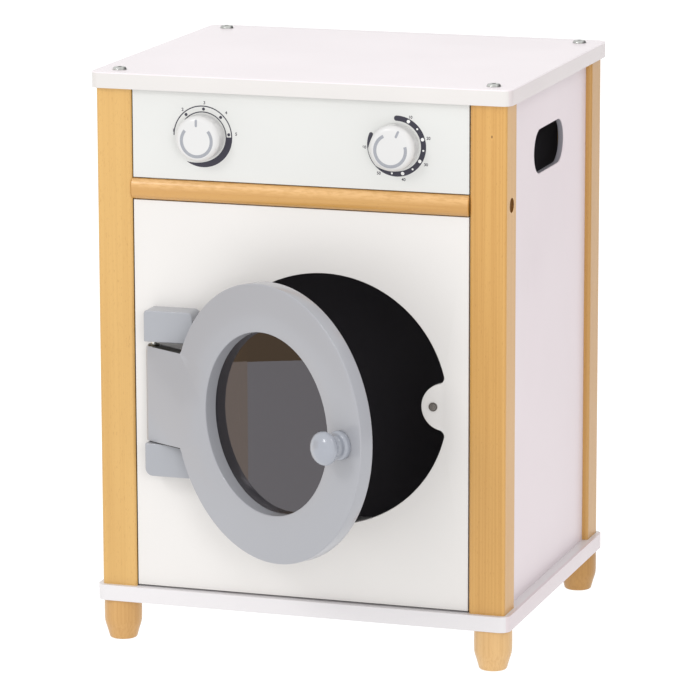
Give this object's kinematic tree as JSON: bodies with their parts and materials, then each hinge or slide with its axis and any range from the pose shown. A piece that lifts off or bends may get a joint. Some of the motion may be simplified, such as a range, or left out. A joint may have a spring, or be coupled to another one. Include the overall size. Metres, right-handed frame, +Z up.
{
  "type": "toy washing machine",
  "caption": "Wooden toy washing machine on turned feet, with a hinged round door and window, turning dial knobs, a rail and hand holes in its sides.",
  "frame": {"origin": "on the floor, under the middle of the whole toy's box with its door at rest, 30 degrees open", "axes": "+X to the right seen from the front, +Y towards the back, +Z up; the door and dials are on the -Y side"},
  "size_m": [0.41, 0.5192, 0.5526],
  "materials": {
    "beech": "clear satin lacquer on beech",
    "lacquer_top": "satin white lacquer on board",
    "lacquer_board": "satin white lacquer on board",
    "lacquer_side": "satin white lacquer outside, near-black inside",
    "lacquer_back": "satin white lacquer outside, near-black inside",
    "lacquer_front": "satin white lacquer outside, near-black inside",
    "lacquer_control": "satin white lacquer with a printed pair of dials",
    "pine": "strip painted near-black",
    "dowel_beech": "plain wood",
    "plug_brown": "oiled end grain",
    "zinc_steel": "zinc plated",
    "brass": "turned",
    "lacquer_hinge": "satin grey lacquer",
    "magnet_steel": "nickel plated",
    "lacquer_door": "satin grey lacquer on board",
    "smoked_pane": "smoked clear sheet",
    "lacquer_knob_grey": "satin grey lacquer",
    "lacquer_dial": "satin white lacquer"
  },
  "bodies": {
    "cabinet": {"top_panel": "lacquer_top", "bottom_panel": "lacquer_board", "post_front_left": "beech", "post_front_right": "beech", "post_rear_left": "beech", "post_rear_right": "beech", "side_panel_left": "lacquer_side", "side_panel_right": "lacquer_side", "back_panel": "lacquer_back", "front_panel": "lacquer_front", "control_panel": "lacquer_control", "front_rail": "beech", "foot_front_left": "beech", "foot_front_right": "beech", "foot_rear_left": "beech", "foot_rear_right": "beech", "top_bolts": "zinc_steel", "top_sleeves": "brass", "foot_bolts": "zinc_steel", "foot_sleeves": "brass", "dowels_top": "dowel_beech", "dowels_bottom": "dowel_beech", "rail_bolts": "zinc_steel", "rail_sleeves": "brass", "rail_plugs": "plug_brown", "cleat_front_left": "pine", "cleat_front_right": "pine", "cleat_control_left": "pine", "cleat_control_right": "pine", "cleat_bottom": "pine", "cleat_screws": "zinc_steel", "hinge_block_upper": "lacquer_hinge", "hinge_block_lower": "lacquer_hinge", "hinge_block_screws": "zinc_steel", "hinge_pin_upper": "brass", "hinge_pin_lower": "brass", "door_magnet": "magnet_steel"},
    "door": {"door_ring": "lacquer_door", "door_window": "smoked_pane", "window_screws": "zinc_steel", "door_knob": "lacquer_knob_grey", "door_knob_screw": "zinc_steel", "hinge_bush_upper": "brass", "hinge_bush_lower": "brass"},
    "dial_left": {"dial_knob_left": "lacquer_dial", "dial_washer_left": "zinc_steel", "dial_screw_left": "zinc_steel"},
    "dial_right": {"dial_knob_right": "lacquer_dial", "dial_washer_right": "zinc_steel", "dial_screw_right": "zinc_steel"}
  },
  "joints": [
    {"name": "door_hinge", "type": "hinge", "parent": "cabinet", "child": "door", "pos_m": [-0.142, -0.08785, 0.25], "axis": [0, 0, -1], "range_deg": [-30, 140]},
    {"name": "dial_left_turn", "type": "hinge", "parent": "cabinet", "child": "dial_left", "pos_m": [-0.0945, -0.07885, 0.493], "axis": [0, -1, 0], "continuous": true},
    {"name": "dial_right_turn", "type": "hinge", "parent": "cabinet", "child": "dial_right", "pos_m": [0.0945, -0.07885, 0.493], "axis": [0, -1, 0], "continuous": true}
  ]
}
